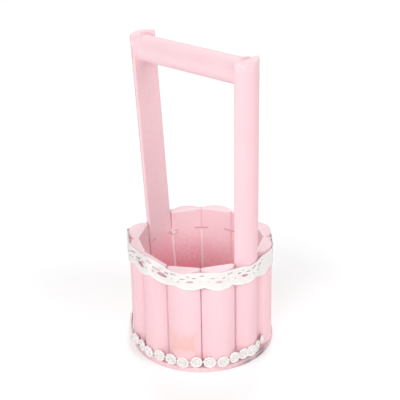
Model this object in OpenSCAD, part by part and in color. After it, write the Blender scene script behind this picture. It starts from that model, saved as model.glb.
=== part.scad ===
/* [Ring of staves] */
// width of one stave's flat inner face
stave_w = 24.5; // [22:0.1:27]
// open joint between two neighbouring flat faces
joint_gap = 0.5; // [0.4:0.1:1.2]
// margin of the round stock, which every stick is ripped from, past the flat face
stock_margin = 0.75; // [0.6:0.05:1.2]
// easing of the two long edges beside the flat face
flat_edge_r = 1.4; // [1:0.1:2.2]
// height of the short staves above the base
stave_h = 84.8; // [78:0.2:100]
// usual thickness of a short stave from flat face to crest
stave_depth = 9.7; // [9.2:0.1:10]
// thickness of the one thick stave beside the left upright
thick_stave_depth = 12.2; // [11:0.1:12.6]
// outward lean of the thick stave, degrees
thick_stave_lean = 1.6; // [0:0.1:2]

/* [Base] */
// thickness of the round base
base_t = 4; // [3:0.5:8]
// bevel on both rims of the base
base_bevel = 0.5; // [0.2:0.1:0.8]

/* [Handle] */
// thickness of the two tall uprights
upright_depth = 8.6; // [8.3:0.1:9.6]
// top of the handle, which is the right upright's, above the table
handle_top_z = 246; // [180:0.5:280]
// how much lower the left upright ends
left_top_drop = 4.6; // [0:0.2:8]
// outward lean of the left upright, degrees
left_lean = 3.9; // [2:0.1:4]
// outward lean of the right upright, degrees
right_lean = 0.3; // [0:0.1:1]
// diameter of the round bar
bar_d = 20; // [14:0.5:20]
// distance from the left upright's top down to the bar's middle line
bar_left_drop = 11.8; // [11.6:0.2:40]
// distance from the right upright's top down to the bar's middle line
bar_right_drop = 9.9; // [9.6:0.1:40]

/* [Lace band] */
// height of the straight part of the band
lace_strip_h = 12; // [10:0.5:14]
// drop of each scallop below the straight part
scallop_drop = 2.5; // [2:0.25:4]
// number of scallops round the band
scallop_count = 16; // [14:1:20]
// thickness of the cloth
lace_t = 0.7; // [0.5:0.1:1]
// distance from the top of the staves down to the middle of the band's edge
lace_drop = 0.8; // [0.6:0.2:6]
// tilt of the band, which is glued on a little askew, degrees
lace_tilt = 3.4; // [0:0.2:3.6]
// side of the ring where it rides highest, degrees from the right upright
lace_high_side = 220; // [210:5:250]
// length of the leaf-shaped opening in each scallop
leaf_l = 7; // [5:0.5:9]
// height of the leaf-shaped opening
leaf_h = 2.4; // [1.6:0.2:3]
// height of the leaf's middle above the corners between the scallops
leaf_rise = 4.6; // [3:0.2:6]
// length of each slot under the top edge
slot_l = 4; // [3:0.5:5]
// height of each slot under the top edge
slot_h = 1; // [0.8:0.1:1.4]
// distance from the top edge down to the slot's middle
slot_drop = 3.8; // [2:0.2:4.4]

/* [Rosette trim] */
// diameter of one rosette across its petals
rosette_d = 9.8; // [8:0.1:10]
// number of petals
petal_count = 8; // [6:1:10]
// thickness of the petals
petal_t = 1; // [0.8:0.1:1.4]
// diameter of the raised button
button_d = 4; // [3:0.2:5]
// height of the button above the petals
button_h = 0.8; // [0.4:0.1:1.2]
// pitch of the rosettes along the strip
rosette_pitch = 10.2; // [10.1:0.1:11]
// height of the thread that joins the rosettes
thread_h = 2; // [1:0.2:3]
// clear height between base and rosettes
rosette_lift = 0.6; // [0.3:0.1:3]
// thickness of the thread
thread_t = 0.6; // [0.4:0.05:0.7]
// how far the end of the strip turns into the groove, degrees
tuck_angle = 20; // [10:1:22]

/* [Label] */
// width of the sticker, measured along the curve
label_w = 25; // [20:0.5:26]
// height of the sticker
label_h = 22; // [16:0.5:26]
// height of its lower edge above the base
label_z = 11; // [10.5:0.5:20]
// thickness of the film
label_t = 0.2; // [0.15:0.05:0.3]

/* [Fixings] */
// length of a staple's crown
crown_l = 10.6; // [9:0.1:11]
// width of the staple wire
wire_w = 1.2; // [0.9:0.1:1.4]
// thickness of the staple wire
wire_t = 0.6; // [0.5:0.05:0.8]
// length of a staple's legs
leg_l = 5; // [4:0.25:5.5]
// distance of the staples below the top of the staves
staple_drop = 16.4; // [14:0.2:40]
// radius of the nails
nail_r = 0.8; // [0.6:0.05:1]
// radius of the nail heads
nail_head_r = 1.7; // [1.4:0.1:2]
// thickness of the nail heads
nail_head_t = 0.8; // [0.6:0.1:1]
// depth that a nail goes into the stave above the base
nail_grip = 14; // [10:1:25]
// length of the nail in each end of the bar
bar_nail_l = 24; // [18:1:30]

/* [Hidden] */
$fn = 64;

paint = [0.98, 0.78, 0.81];
cloth = [0.97, 0.97, 0.95];
film = [0.98, 0.82, 0.74];
steel = [0.72, 0.72, 0.74];

// clearances between pieces
curve_gap = 0.3;
bore_gap = 0.3;
leg_gap = 0.15;
crown_gap = 0.2;
eps = 0.01;

// ring
stock_r = stave_w / 2 + stock_margin;
stick_count = 12;
step_angle = 360 / stick_count;
apothem = (stave_w + joint_gap) / 2 / tan(step_angle / 2);
rim_z = base_t + stave_h;
base_r = apothem + stave_depth;
right_top_z = handle_top_z;
left_top_z = handle_top_z - left_top_drop;

// places round the ring that differ from a plain stave
right_place = 0;
left_place = 6;
thick_place = 7;
label_place = 10;
bare_place = 1;

function place_angle(i) = step_angle * i;
function place_depth(i) =
    i % stick_count == right_place || i % stick_count == left_place ? upright_depth
    : i % stick_count == thick_place ? thick_stave_depth
    : stave_depth;
function place_lean(i) =
    i % stick_count == right_place ? right_lean
    : i % stick_count == left_place ? left_lean
    : i % stick_count == thick_place ? thick_stave_lean
    : 0;
function place_top(i) =
    i == right_place ? right_top_z
    : i == left_place ? left_top_z
    : rim_z;

// distance of a stick's flat face from the middle of the ring at height z
function flat_at(i, z) = apothem + (z - rim_z) * tan(place_lean(i));

// taut line round the crests: each stick gives a circle, and the line
// runs round the circles and straight from one to the next, past any stick
// that stands back from the line between its neighbours
function polar(r, a) = r * [cos(a), sin(a)];
function crest_centre(i, z) =
    polar(flat_at(i, z) + place_depth(i) - stock_r, place_angle(i));
function span(i, k, z) = crest_centre(k, z) - crest_centre(i, z);
function near_angle(a, goal) = goal + ((a - goal + 540) % 360) - 180;
function tangent_angle(i, k, z) =
    near_angle(atan2(span(i, k, z)[1], span(i, k, z)[0]) - 90,
        (place_angle(i) + place_angle(k)) / 2);
function touched(z, first, last) =
    [for (i = [first:last])
        if (cross(span(i - 1, i, z), span(i, i + 1, z)) > 0) i];

arc_steps = 5;
function arc_points(i, z, r, from, to) =
    [for (j = [0:arc_steps])
        crest_centre(i, z) + polar(r, from + (to - from) * j / arc_steps)];
function join(lists) = [for (l = lists) for (p = l) p];
function taut_line(z, gap, first, last, turn) =
    let (t = touched(z, first - 1, last + 1))
    join([for (k = [1:len(t) - 2])
        arc_points(t[k], z, stock_r + gap, tangent_angle(t[k - 1], t[k], z),
            tangent_angle(t[k], t[k + 1], z) + (t[k] == last ? turn : 0))]);

// running length along a line of points, and the place at a length
function reaches(p) = [for (n = 0, s = 0; n < len(p);
    n = n + 1, s = n < len(p) ? s + norm(p[n] - p[n - 1]) : s) s];
function piece_at(c, s) = max([for (n = [0:len(c) - 2]) if (c[n] <= s + eps) n]);
function point_on(p, c, s) =
    let (n = piece_at(c, s), d = p[n + 1] - p[n])
    [p[n] + d * (s - c[n]) / norm(d), atan2(d[1], d[0]) - 90];

// holds a flat drawing upright against the line, its z outwards
module on_line(place, z) {
    translate([place[0][0], place[0][1], z])
        rotate([0, 0, place[1]]) rotate([90, 0, 90]) children();
}

module spread(i) {
    rotate([0, 0, place_angle(i)]) children();
}

// moves a drawing from the plumb stick to the leaning one: flat face at
// x = 0, middle line at y = 0, hinged at the top of the ring
module leaned(i) {
    spread(i) translate([apothem, 0, rim_z]) rotate([0, place_lean(i), 0])
        translate([0, 0, -rim_z]) children();
}

module edge_easing() {
    difference() {
        translate([-eps, -eps]) square(flat_edge_r + eps);
        translate([flat_edge_r, flat_edge_r]) circle(flat_edge_r);
    }
}

module stick_section(depth) {
    difference() {
        intersection() {
            translate([depth - stock_r, 0]) circle(stock_r);
            translate([0, -stave_w / 2]) square([depth, stave_w]);
        }
        translate([0, -stave_w / 2]) edge_easing();
        mirror([0, 1]) translate([0, -stave_w / 2]) edge_easing();
    }
}

// one stick of the ring, sawn level at both ends
stick_overrun = 20;
module plain_stick(i) {
    depth = place_depth(i);
    top = place_top(i);
    if (place_lean(i) == 0)
        leaned(i) translate([0, 0, base_t]) linear_extrude(top - base_t)
            stick_section(depth);
    else
        intersection() {
            leaned(i) translate([0, 0, base_t - stick_overrun])
                linear_extrude(top - base_t + 2 * stick_overrun)
                    stick_section(depth);
            translate([-2 * base_r, -2 * base_r, base_t])
                cube([4 * base_r, 4 * base_r, top - base_t]);
        }
}

// staples: both feet stand on the flat faces of the two sticks of a joint
staple_z = rim_z - staple_drop;
foot_reach = (crown_l - wire_t) / 2 / cos(step_angle / 2);
function foot(i, side) =
    let (a = place_angle(i), u = flat_at(i, staple_z) - crown_gap,
        v = side * ((stave_w + joint_gap) / 2 - foot_reach))
    [u * cos(a) - v * sin(a), u * sin(a) + v * cos(a)];
function staple_from(i) = foot(i, 1);
function staple_to(i) = foot(i + 1, -1);

// x outwards along the legs, y along the crown
module at_staple(i) {
    a = staple_from(i);
    b = staple_to(i);
    translate([(a[0] + b[0]) / 2, (a[1] + b[1]) / 2, staple_z])
        rotate([0, 0, atan2(b[1] - a[1], b[0] - a[0]) - 90]) children();
}

function crown_span(i) = norm(staple_to(i) - staple_from(i));

module staple_legs(i, grow) {
    for (s = [-1, 1])
        translate([-wire_t, s * crown_span(i) / 2 - wire_t / 2 - grow,
            -wire_w / 2 - grow])
            cube([wire_t + leg_l + grow, wire_t + 2 * grow, wire_w + 2 * grow]);
}

module staple(i) {
    at_staple(i) union() {
        translate([-wire_t, -(crown_span(i) + wire_t) / 2, -wire_w / 2])
            cube([wire_t, crown_span(i) + wire_t, wire_w]);
        staple_legs(i, 0);
    }
}

// nails through the base, one up the middle of each stick
function nail_x(i) = flat_at(i, base_t) + place_depth(i) / 2;
head_recess = 0.3;
module base_nail(i, grow) {
    spread(i) translate([nail_x(i), 0, 0]) {
        translate([0, 0, grow > 0 ? -eps : head_recess])
            cylinder(r = nail_head_r + grow,
                h = nail_head_t + (grow > 0 ? head_recess + grow + eps : 0));
        translate([0, 0, head_recess])
            cylinder(r = nail_r + grow, h = base_t - head_recess + nail_grip
                + grow);
    }
}

// bar: its middle line meets both flat faces
bar_left_z = left_top_z - bar_left_drop;
bar_right_z = right_top_z - bar_right_drop;
bar_left = [-flat_at(left_place, bar_left_z), 0, bar_left_z];
bar_right = [flat_at(right_place, bar_right_z), 0, bar_right_z];
bar_run = bar_right - bar_left;
bar_rise = atan2(bar_run[2], bar_run[0]);

module along_bar(from) {
    translate(from) rotate([0, 90 - bar_rise, 0]) children();
}

// sealed nails: driven from the crest, sunk and filled over
nail_sink = 1.6;
module bar_nail(side, grow) {
    start = upright_depth - nail_sink;
    if (side == left_place)
        along_bar(bar_left) translate([0, 0, -start - grow])
            cylinder(r = nail_r + grow, h = bar_nail_l + 2 * grow);
    else
        along_bar(bar_right) mirror([0, 0, 1]) translate([0, 0, -start - grow])
            cylinder(r = nail_r + grow, h = bar_nail_l + 2 * grow);
}

// a stick with the slots of its staples and the bore of its base nail
module stick(i) {
    color(paint) difference() {
        plain_stick(i);
        at_staple(i) staple_legs(i, leg_gap);
        at_staple(i + stick_count - 1) staple_legs(i + stick_count - 1, leg_gap);
        base_nail(i, bore_gap);
        if (i == left_place || i == right_place) bar_nail(i, bore_gap);
    }
}

// short staves are numbered from the one right of the right upright, so the
// numbers skip both uprights
function stave_place(n) = n < left_place ? n : n + 1;

module base_disc() {
    b = base_bevel;
    color(paint) difference() {
        rotate_extrude() polygon([[0, 0], [base_r - b, 0], [base_r, b],
            [base_r, base_t - b], [base_r - b, base_t], [0, base_t]]);
        for (i = [0:stick_count - 1]) base_nail(i, bore_gap);
    }
}

module handle_bar() {
    overrun = bar_d;
    color(paint) difference() {
        along_bar(bar_left) translate([0, 0, -overrun])
            cylinder(d = bar_d, h = norm(bar_run) + 2 * overrun);
        // the ends are sawn to the flat faces of the uprights
        for (i = [left_place, right_place])
            leaned(i) translate([0, -bar_d, bar_left_z - 2 * bar_d])
                cube([3 * overrun, 2 * bar_d, 4 * bar_d + bar_right_z
                    - bar_left_z]);
        bar_nail(left_place, bore_gap);
        bar_nail(right_place, bore_gap);
    }
}

// lace: a taut band with a scalloped lower edge and rows of openings, cut
// by planes that tilt about the middle of the ring, and wrapped at the height
// of its highest point, where the leaning sticks stand furthest out
lace_top = rim_z - lace_drop;
lace_cusp = lace_top - lace_strip_h;
lace_low = lace_cusp - scallop_drop;
band_reach = 1.2 * base_r;
function lace_rise(p) =
    tan(lace_tilt) * p * [cos(lace_high_side), sin(lace_high_side)];
lace_swing = tan(lace_tilt) * band_reach;
lace_line_z = lace_top + lace_swing;
lace_in = taut_line(lace_line_z, curve_gap, 0, stick_count - 1, 0);
lace_out = taut_line(lace_line_z, curve_gap + lace_t, 0, stick_count - 1, 0);
lace_loop = concat(lace_in, [lace_in[0]]);
lace_marks = reaches(lace_loop);
lace_l = lace_marks[len(lace_marks) - 1];
scallop_w = lace_l / scallop_count;
scallop_r = (pow(scallop_w / 2, 2) + pow(scallop_drop, 2)) / 2 / scallop_drop;
leaf_r = (pow(leaf_l / 2, 2) + pow(leaf_h / 2, 2)) / leaf_h;
leaf_z = lace_cusp + leaf_rise;
slot_z = lace_top - slot_drop;
// share of a scallop by which the pattern starts past the right upright, places
// of the two slots along a scallop, and how far every cut reaches through the
// cloth
pattern_shift = 0.25;
slot_shares = [0.26, 0.74];
cut_l = 12;

module leaf() {
    intersection() {
        translate([0, leaf_r - leaf_h / 2]) circle(leaf_r);
        translate([0, leaf_h / 2 - leaf_r]) circle(leaf_r);
    }
}

// a drawing turned to the band's tilt, and one held upright on the band
module tilted(z) {
    translate([0, 0, z]) rotate([0, 0, lace_high_side])
        rotate([0, -lace_tilt, 0]) children();
}
module on_band(share, z) {
    spot = point_on(lace_loop, lace_marks,
        (share + pattern_shift) * scallop_w);
    on_line(spot, z + lace_rise(spot[0])) children();
}

module lace_band() {
    full_h = lace_top - lace_low + 2 * lace_swing;
    color(cloth) difference() {
        intersection() {
            translate([0, 0, lace_low - lace_swing]) linear_extrude(full_h)
                difference() {
                    polygon(lace_out);
                    polygon(lace_in);
                }
            tilted(lace_top) mirror([0, 0, 1])
                cylinder(r = 2 * band_reach, h = 2 * full_h);
            union() {
                tilted(lace_cusp)
                    cylinder(r = 2 * band_reach, h = 2 * full_h);
                for (n = [0:scallop_count - 1])
                    on_band(n + 0.5, lace_low + scallop_r)
                        cylinder(r = scallop_r, h = cut_l, center = true);
            }
        }
        for (n = [0:scallop_count - 1]) {
            on_band(n + 0.5, leaf_z)
                linear_extrude(cut_l, center = true) leaf();
            for (s = slot_shares)
                on_band(n + s, slot_z)
                    translate([-slot_l / 2, -slot_h / 2, -cut_l / 2])
                    cube([slot_l, slot_h, cut_l]);
        }
    }
}

// trim: rosettes on a thread, open over one stave
trim_z = base_t + rosette_lift + rosette_d / 2;
trim_top = trim_z + rosette_d / 2;
trim_first = bare_place + 1;
trim_last = stick_count;
trim_line = taut_line(trim_top, curve_gap, trim_first, trim_last, tuck_angle);
trim_face = taut_line(trim_top, curve_gap + thread_t, trim_first, trim_last,
    tuck_angle);
trim_marks = reaches(trim_line);
trim_l = trim_marks[len(trim_marks) - 1];
rosette_count = floor(trim_l / rosette_pitch);
trim_start = trim_l - rosette_count * rosette_pitch;
// share of the rosette's radius at which the petals' middles stand
petal_ring = 0.64;
petal_r = rosette_d / 2 * (1 - petal_ring);

// the petals start a little way off the thread's back face
petal_back = 0.15;

module rosette() {
    translate([0, 0, petal_back]) linear_extrude(petal_t - petal_back) {
        circle(rosette_d / 2 * petal_ring);
        for (k = [0:petal_count - 1]) rotate(k * 360 / petal_count)
            translate([rosette_d / 2 * petal_ring, 0]) circle(petal_r);
    }
    translate([0, 0, petal_back])
        cylinder(d = button_d, h = petal_t + button_h - petal_back);
}

module rosette_trim() {
    color(cloth) union() {
        translate([0, 0, trim_z - thread_h / 2]) linear_extrude(thread_h)
            polygon(concat(trim_face,
                [for (n = [len(trim_line) - 1:-1:0]) trim_line[n]]));
        for (n = [0:rosette_count - 1])
            on_line(point_on(trim_line, trim_marks,
                trim_start + (n + 0.5) * rosette_pitch), trim_z) rosette();
    }
}

// sticker: a film bent round the crest of one stave
module label() {
    r = stock_r + curve_gap;
    half = label_w / 2 / r * 180 / PI;
    color(film) spread(label_place)
        translate([apothem + place_depth(label_place) - stock_r, 0,
            base_t + label_z])
            rotate([0, 0, -half]) rotate_extrude(angle = 2 * half)
                translate([r, 0]) square([label_t, label_h]);
}

module staples() {
    color(steel) for (i = [0:stick_count - 1]) staple(i);
}

module base_nails() {
    color(steel) for (i = [0:stick_count - 1]) base_nail(i, 0);
}

module handle_nails() {
    color(steel) {
        bar_nail(left_place, 0);
        bar_nail(right_place, 0);
    }
}

base_disc();
stick(stave_place(1));  // stave_01
stick(stave_place(2));  // stave_02
stick(stave_place(3));  // stave_03
stick(stave_place(4));  // stave_04
stick(stave_place(5));  // stave_05
stick(stave_place(6));  // stave_06
stick(stave_place(7));  // stave_07
stick(stave_place(8));  // stave_08
stick(stave_place(9));  // stave_09
stick(stave_place(10));  // stave_10
stick(left_place);  // upright_left
stick(right_place);  // upright_right
handle_bar();
lace_band();
rosette_trim();
label();
staples();
handle_nails();
base_nails();
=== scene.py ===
import math
import random

import bmesh
import bpy
from mathutils import Matrix, Vector, noise


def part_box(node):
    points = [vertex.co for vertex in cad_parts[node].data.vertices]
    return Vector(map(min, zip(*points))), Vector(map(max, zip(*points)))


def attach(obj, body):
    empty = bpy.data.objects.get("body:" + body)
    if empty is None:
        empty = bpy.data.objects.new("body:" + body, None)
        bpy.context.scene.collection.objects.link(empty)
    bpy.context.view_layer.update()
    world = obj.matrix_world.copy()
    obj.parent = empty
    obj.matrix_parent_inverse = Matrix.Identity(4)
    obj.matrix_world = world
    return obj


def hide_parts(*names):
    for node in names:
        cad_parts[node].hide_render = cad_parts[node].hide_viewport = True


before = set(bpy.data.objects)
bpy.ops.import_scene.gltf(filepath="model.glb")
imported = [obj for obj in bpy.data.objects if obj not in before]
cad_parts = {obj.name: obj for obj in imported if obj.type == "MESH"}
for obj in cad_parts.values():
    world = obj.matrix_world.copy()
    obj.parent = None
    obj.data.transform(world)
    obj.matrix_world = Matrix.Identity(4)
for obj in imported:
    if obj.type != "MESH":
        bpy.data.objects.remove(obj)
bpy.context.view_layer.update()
mm = 0.001


# small helpers

def report(text):
    print("basket:", text)


def polar(radius, angle):
    return Vector((radius * math.cos(angle), radius * math.sin(angle)))


def sideOf(point):
    return math.degrees(math.atan2(point.y, point.x))


def everything(bm):
    return bm.verts[:] + bm.edges[:] + bm.faces[:]


def once(items):
    # each item once, in its order
    return list(dict.fromkeys(items))


def cutAway(bm, point, direction):
    # removes what lies on the far side of a plane
    bmesh.ops.bisect_plane(bm, geom=everything(bm), dist=1e-7, plane_co=point,
                           plane_no=direction, clear_outer=True)


def scoreAcross(bm, height):
    bmesh.ops.bisect_plane(bm, geom=everything(bm), dist=1e-7, plane_co=(0, 0, height),
                           plane_no=(0, 0, 1))


def storeMasks(piece, **masks):
    # a number for every vertex, or one number for them all
    for name, values in masks.items():
        if isinstance(values, float):
            values = [values] * len(piece.data.vertices)
        mask = piece.data.attributes.new(name, "FLOAT", "POINT")
        mask.data.foreach_set("value", values)


def alongSide(table, angle):
    # smooth values round the basket, from a few given sides
    sides = sorted(table)
    sides = [(sides[-1][0] - 360, sides[-1][1])] + sides + [(sides[0][0] + 360, sides[0][1])]
    angle = (angle - sides[1][0]) % 360 + sides[1][0]
    for (first, start), (second, end) in zip(sides, sides[1:]):
        if first <= angle <= second:
            part = (angle - first) / (second - first)
            return start + (end - start) * part * part * (3 - 2 * part)
    return table[0][1]


def easedStep(value, low, high):
    part = min(1.0, max(0.0, (value - low) / (high - low)))
    return part * part * (3 - 2 * part)


def makePiece(name, bm, material, stands, sharpAngle=35):
    mesh = bpy.data.meshes.new(name)
    bm.to_mesh(mesh)
    bm.free()
    mesh.shade_smooth()
    mesh.set_sharp_from_angle(angle=math.radians(sharpAngle))
    piece = bpy.data.objects.new(name, mesh)
    bpy.context.scene.collection.objects.link(piece)
    mesh.materials.append(material)
    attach(piece, "root")
    if stands:
        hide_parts(*stands)
    return piece


def evenNormals(piece):
    modifier = piece.modifiers.new("evenNormals", "WEIGHTED_NORMAL")
    modifier.keep_sharp = True
    modifier.weight = 60


def giveWall(piece, thickness):
    # the cloth or film lies in the middle of its wall
    wall = piece.modifiers.new("wall", "SOLIDIFY")
    wall.thickness = thickness
    wall.offset = 0.0


# camera, at the photograph's angle

cameraView = dict(
    azimuth=45.89,
    elevation=26.53,
    roll=-1.17,
    distance=888.95 * mm,
    focalPixels=1148.32,
    imagePixels=400,
    sensor=36.0,
    aimHeight=100 * mm,      # this point of the basket's middle line
    aimPixel=(200.47, 223.68),  # is seen here
)


def makeCamera(values):
    azimuth, elevation, roll = (math.radians(values[k]) for k in ("azimuth", "elevation", "roll"))
    back = Vector((math.sin(azimuth) * math.cos(elevation),
                   -math.cos(azimuth) * math.cos(elevation), math.sin(elevation)))
    right = (-back).cross(Vector((0, 0, 1))).normalized()
    up = right.cross(-back)
    rolledRight = right * math.cos(roll) + up * math.sin(roll)
    rolledUp = up * math.cos(roll) - right * math.sin(roll)
    middle = values["imagePixels"] / 2
    pixel = values["distance"] / values["focalPixels"]
    place = Vector((0, 0, values["aimHeight"])) + back * values["distance"]
    place -= rolledRight * (values["aimPixel"][0] - middle) * pixel
    place += rolledUp * (values["aimPixel"][1] - middle) * pixel
    data = bpy.data.cameras.new("camera")
    data.sensor_width = values["sensor"]
    data.lens = values["focalPixels"] / values["imagePixels"] * values["sensor"]
    data.clip_start = 0.05
    data.clip_end = 20
    camera = bpy.data.objects.new("camera", data)
    turn = Matrix((rolledRight, rolledUp, back)).transposed().to_4x4()
    camera.matrix_world = Matrix.Translation(place) @ turn
    bpy.context.scene.collection.objects.link(camera)
    bpy.context.scene.camera = camera


makeCamera(cameraView)
report("camera placed")


# node helpers

def setInputs(node, **sockets):
    # sockets by name, or as i0, i1 and so on by number
    for key, value in sockets.items():
        key = int(key[1:]) if key[0] == "i" and key[1:].isdigit() else key.replace("_", " ")
        socket = node.inputs[key]
        if isinstance(value, bpy.types.NodeSocket):
            socket.id_data.links.new(value, socket)
        else:
            socket.default_value = value


def addNode(tree, kind, outName=0, settings=None, **sockets):
    node = tree.nodes.new(kind)
    for key, value in (settings or {}).items():
        setattr(node, key, value)
    setInputs(node, **sockets)
    return node.outputs[outName]


def calc(tree, operation, a, b, clamp=False):
    return addNode(tree, "ShaderNodeMath", settings=dict(operation=operation, use_clamp=clamp),
                   i0=a, i1=b)


def times(tree, a, b, clamp=False):
    return calc(tree, "MULTIPLY", a, b, clamp)


def plus(tree, base, value, share):
    # a value with a share of another one added
    return calc(tree, "ADD", base, times(tree, value, share))


def blendColor(tree, factor, first, second):
    return addNode(tree, "ShaderNodeMix", 2, dict(data_type="RGBA"), Factor=factor, i6=first,
                   i7=second)


def spreadOut(tree, value, low, high, toLow=0.0, toHigh=1.0):
    return addNode(tree, "ShaderNodeMapRange", Value=value, From_Min=low, From_Max=high,
                   To_Min=toLow, To_Max=toHigh)


def stretched(tree, vector, factors):
    return addNode(tree, "ShaderNodeVectorMath", settings=dict(operation="MULTIPLY"),
                   i0=vector, i1=factors)


def noiseAt(tree, vector, scale, detail, roughness):
    return addNode(tree, "ShaderNodeTexNoise", "Fac", Vector=vector, Scale=scale, Detail=detail,
                   Roughness=roughness)


def readMask(tree, name):
    return addNode(tree, "ShaderNodeAttribute", "Fac", settings=dict(attribute_name=name))


def newGroup(name, inputs):
    # every group takes a place on its piece and gives a colour, a roughness and a height
    group = bpy.data.node_groups.new(name, "ShaderNodeTree")
    group.interface.new_socket("Place", in_out="INPUT", socket_type="NodeSocketVector")
    for socketName, default in inputs.items():
        kind = "NodeSocketFloat" if isinstance(default, float) else "NodeSocketColor"
        socket = group.interface.new_socket(socketName, in_out="INPUT", socket_type=kind)
        socket.default_value = default
    for socketName in ("Color", "Roughness", "Height"):
        kind = "NodeSocketColor" if socketName == "Color" else "NodeSocketFloat"
        group.interface.new_socket(socketName, in_out="OUTPUT", socket_type=kind)
    return group, group.nodes.new("NodeGroupInput").outputs, group.nodes.new("NodeGroupOutput")


def useGroup(tree, shader, group, strength, depth, **sockets):
    node = tree.nodes.new("ShaderNodeGroup")
    node.node_tree = group
    setInputs(node, **sockets)
    bump = addNode(tree, "ShaderNodeBump", Height=node.outputs["Height"], Strength=strength,
                   Distance=depth)
    setInputs(shader, Base_Color=node.outputs["Color"], Roughness=node.outputs["Roughness"],
              Normal=bump)


def newMaterial(name):
    material = bpy.data.materials.new(name)
    material.use_nodes = True
    tree = material.node_tree
    return material, tree, tree.nodes["Principled BSDF"]


def srgb(red, green, blue):
    # a colour written as it is seen
    def linear(c):
        c /= 255
        return c / 12.92 if c <= 0.04045 else ((c + 0.055) / 1.055) ** 2.4
    return (linear(red), linear(green), linear(blue), 1.0)


# paint over wood: grain that telegraphs through the coat, thin edges that partly stand for a
# painted highlight, sawn ends, painted light and painted shade

def makePaintGroup():
    group, given, made = newGroup("paintOverWood", {
        "Coat": (0.9, 0.6, 0.65, 1), "Thin Coat": (0.95, 0.75, 0.78, 1),
        "Deep Coat": (0.95, 0.45, 0.5, 1), "Edge": 0.0, "Sawn": 0.0, "Tone": 0.5, "Thin": 0.0,
        "Deep": 0.0, "Grime": 0.0, "Grain": 1.0})
    place, sawn = given["Place"], given["Sawn"]
    streaks = noiseAt(group, stretched(group, place, (1, 1, 0.045)), 1100, 4, 0.6)
    broad = noiseAt(group, stretched(group, place, (1, 1, 0.16)), 130, 2, 0.5)
    pores = noiseAt(group, stretched(group, place, (1, 1, 0.07)), 2300, 1, 0.4)
    cloud = noiseAt(group, place, 38, 2, 0.5)
    speck = noiseAt(group, place, 2600, 2, 0.5)
    pits = spreadOut(group, pores, 0.66, 0.78)
    shade = 0.93
    for pattern, share in ((streaks, 0.055), (broad, 0.03), (cloud, 0.02)):
        shade = plus(group, shade, spreadOut(group, pattern, 0.3, 0.7), share)
    shade = plus(group, shade, calc(group, "SUBTRACT", given["Tone"], 0.5), 0.035)
    shade = plus(group, shade, pits, -0.05)
    # saw marks run across the ends
    marks = addNode(group, "ShaderNodeTexWave", "Fac",
                    settings=dict(wave_type="BANDS", bands_direction="DIAGONAL"),
                    Vector=place, Scale=330.0, Distortion=3.0, Detail=2.0, Detail_Scale=1.6)
    rings = addNode(group, "ShaderNodeTexWave", "Fac",
                    settings=dict(wave_type="RINGS", rings_direction="Z"),
                    Vector=place, Scale=150.0, Distortion=5.0, Detail=2.0, Detail_Scale=1.0)
    endShade = plus(group, times(group, marks, 0.035), rings, 0.03)
    shade = calc(group, "SUBTRACT", shade, times(group, endShade, sawn))
    # the coat gets deeper where it is darker
    deeper = addNode(group, "ShaderNodeGamma", Color=given["Coat"], Gamma=1.9)
    color = blendColor(group, spreadOut(group, shade, 1.0, 0.86, 0.0, 0.34), given["Coat"], deeper)
    uneven = spreadOut(group, cloud, 0.25, 0.75, 0.8, 1.2)
    # painted light and painted shade: a paler coat near the rim and a deeper pink coat low down,
    # where light and shade fall
    color = blendColor(group, times(group, given["Thin"], uneven), color, given["Thin Coat"])
    color = blendColor(group, times(group, given["Deep"], uneven), color, given["Deep Coat"])
    # worn edges and sawn ends show a thin coat, on the edges partly a painted highlight, and a
    # grey darkening lies over all
    chips = spreadOut(group, noiseAt(group, place, 420, 3, 0.6), 0.38, 0.62)
    wearAndHighlight = times(group, times(group, given["Edge"], chips), 0.75, clamp=True)
    color = blendColor(group, wearAndHighlight, color, given["Thin Coat"])
    color = blendColor(group, times(group, sawn, 0.7), color, given["Thin Coat"])
    # a grey darkening in blotches: painted shade on the staples and in the joint paint, a dark
    # band along the lower edge of the disc
    blotches = spreadOut(group, noiseAt(group, place, 300, 4, 0.65), 0.3, 0.6, 0.75, 1.0)
    darkened = times(group, given["Grime"], blotches, clamp=True)
    color = blendColor(group, darkened, color, srgb(136, 122, 127))
    rough = plus(group, plus(group, 0.46, speck, 0.14), sawn, 0.14)
    height = times(group, streaks, 0.5)
    for pattern, share in ((broad, 0.8), (speck, 0.12), (pits, -0.5)):
        height = plus(group, height, pattern, share)
    height = calc(group, "SUBTRACT", height, times(group, times(group, marks, 1.2), sawn))
    setInputs(made, Color=color, Roughness=rough, Height=times(group, height, given["Grain"]))
    return group


paintGroup = makePaintGroup()

paintValues = dict(
    coat=srgb(249, 208, 215),
    # the paler coat is thin paint on edges and sawn ends and painted light on the inner faces; the
    # deeper coat is painted shade
    thinCoat=srgb(253, 228, 232),
    deepCoat=srgb(255, 172, 187),
    grainDepth=0.09 * mm,
)


def makePaint(name, values, turn=(0, 0, 0), grain=1.0):
    material, tree, shader = newMaterial(name)
    coords = addNode(tree, "ShaderNodeTexCoord", "Object")
    place = addNode(tree, "ShaderNodeMapping", Vector=coords,
                    Rotation=[math.radians(a) for a in turn])
    masks = {key: readMask(tree, key.lower())
             for key in ("Edge", "Sawn", "Tone", "Thin", "Deep", "Grime")}
    useGroup(tree, shader, paintGroup, 0.8, values["grainDepth"], Place=place,
             Coat=values["coat"], Thin_Coat=values["thinCoat"], Deep_Coat=values["deepCoat"],
             Grain=grain, **masks)
    setInputs(shader, Specular_IOR_Level=0.42)
    return material


stickPaint = makePaint("pinkStickPaint", paintValues)
barPaint = makePaint("pinkBarPaint", paintValues, turn=(0, 90, 0))
discPaint = makePaint("pinkDiscPaint", paintValues, turn=(0, 90, 20))
staplePaint = makePaint("pinkStaplePaint", paintValues, grain=0.4)
# a near-white coat, painted light where light comes through two of the joints
paintedLightPaint = makePaint("paintedLightPaint", dict(paintValues, coat=srgb(255, 240, 243)), grain=0.4)


# cotton: twisted threads laid both ways over the cloth's own map, in millimetres

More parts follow.
